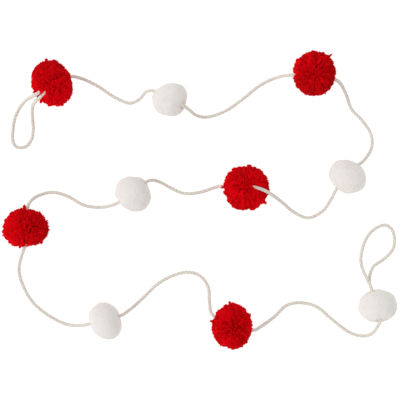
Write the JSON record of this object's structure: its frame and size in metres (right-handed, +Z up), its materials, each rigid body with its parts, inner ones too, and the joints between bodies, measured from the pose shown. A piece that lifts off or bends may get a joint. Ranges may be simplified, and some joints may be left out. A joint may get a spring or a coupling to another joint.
{
  "type": "felt ball garland",
  "caption": "Laid-out garland of red yarn pompoms and white felted wool balls, threaded in turn on one cream cotton cord that makes a hanging loop at each end.",
  "frame": {"origin": "on the table, under the middle of the laid-out balls", "axes": "+X along the layout's longest side, +Y towards the run with the left loop, +Z up"},
  "size_m": [0.4787, 0.3608, 0.054],
  "materials": {
    "cord": "matte twisted cotton cord",
    "yarn": "matte cut wool yarn",
    "felt": "matte felted wool with fine fuzz"
  },
  "bodies": {
    "root": {"cord": "cord", "pompom_1": "yarn", "pompom_2": "yarn", "pompom_3": "yarn", "pompom_4": "yarn", "pompom_5": "yarn", "felt_ball_1": "felt", "felt_ball_2": "felt", "felt_ball_3": "felt", "felt_ball_4": "felt", "felt_ball_5": "felt"}
  },
  "joints": []
}
